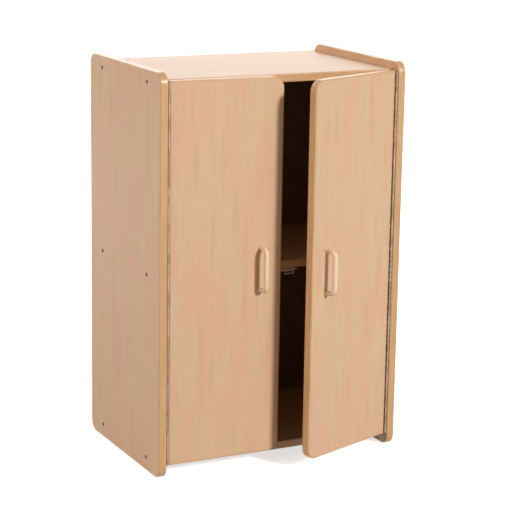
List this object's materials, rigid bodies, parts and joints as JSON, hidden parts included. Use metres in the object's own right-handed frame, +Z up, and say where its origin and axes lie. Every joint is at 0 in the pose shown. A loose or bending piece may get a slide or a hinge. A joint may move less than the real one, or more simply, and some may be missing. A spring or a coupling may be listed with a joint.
{
  "type": "storage cabinet",
  "caption": "Free-standing storage cabinet with rounded side panels, inset doors on full-length hinges, a fixed middle shelf, bow handles and magnetic catches.",
  "frame": {"origin": "middle of the carcass on the floor: half way between the outsides of the side panels and between their front and rear edges, on the plane of their feet", "axes": "+Z up; the doors face -Y; +X to the right for someone who faces the doors; the left door is closed and the right door stands 21.1 degrees open"},
  "size_m": [0.6096, 0.513, 0.9144],
  "materials": {
    "maple_board": "faced board with a satin maple-look surface",
    "edge_band": "honey maple edge band with eased arrises",
    "back_board": "smooth brown hardboard",
    "hinge_steel": "nickel-plated steel strip",
    "pin_steel": "bright drawn wire",
    "cream_handle": "satin cream moulding",
    "dark_screw": "dark phosphate screw head",
    "zinc_steel": "zinc-plated steel",
    "catch_aluminium": "bright pressed aluminium",
    "magnet": "dark ferrite"
  },
  "bodies": {
    "cabinet": {"back_panel": "back_board", "back_panel_screws": "zinc_steel", "bottom_front_band": "edge_band", "bottom_panel": "maple_board", "left_carcass_screws": "dark_screw", "left_catch_case": "catch_aluminium", "left_catch_magnet": "magnet", "left_catch_poles": "zinc_steel", "left_catch_screws": "zinc_steel", "left_fixed_hinge_leaf": "hinge_steel", "left_fixed_leaf_screws": "zinc_steel", "left_hinge_pin": "pin_steel", "left_side_edge_band": "edge_band", "left_side_panel": "maple_board", "right_carcass_screws": "dark_screw", "right_catch_case": "catch_aluminium", "right_catch_magnet": "magnet", "right_catch_poles": "zinc_steel", "right_catch_screws": "zinc_steel", "right_fixed_hinge_leaf": "hinge_steel", "right_fixed_leaf_screws": "zinc_steel", "right_hinge_pin": "pin_steel", "right_side_edge_band": "edge_band", "right_side_panel": "maple_board", "shelf": "maple_board", "shelf_front_band": "edge_band", "top_front_band": "edge_band", "top_panel": "maple_board"},
    "left_door": {"left_door": "maple_board", "left_door_edge_band": "edge_band", "left_moving_hinge_leaf": "hinge_steel", "left_moving_leaf_screws": "zinc_steel", "left_handle": "cream_handle", "left_handle_screws": "zinc_steel", "left_strike_plate": "zinc_steel", "left_strike_screw": "zinc_steel"},
    "right_door": {"right_door": "maple_board", "right_door_edge_band": "edge_band", "right_moving_hinge_leaf": "hinge_steel", "right_moving_leaf_screws": "zinc_steel", "right_handle": "cream_handle", "right_handle_screws": "zinc_steel", "right_strike_plate": "zinc_steel", "right_strike_screw": "zinc_steel"}
  },
  "joints": [
    {"name": "left_door_hinge", "type": "hinge", "parent": "cabinet", "child": "left_door", "pos_m": [-0.2828, -0.2007, 0.46265], "axis": [0, 0, -1], "range_deg": [0, 165]},
    {"name": "right_door_hinge", "type": "hinge", "parent": "cabinet", "child": "right_door", "pos_m": [0.2828, -0.2007, 0.46265], "axis": [0, 0, 1], "range_deg": [-21.1, 143.9]}
  ]
}
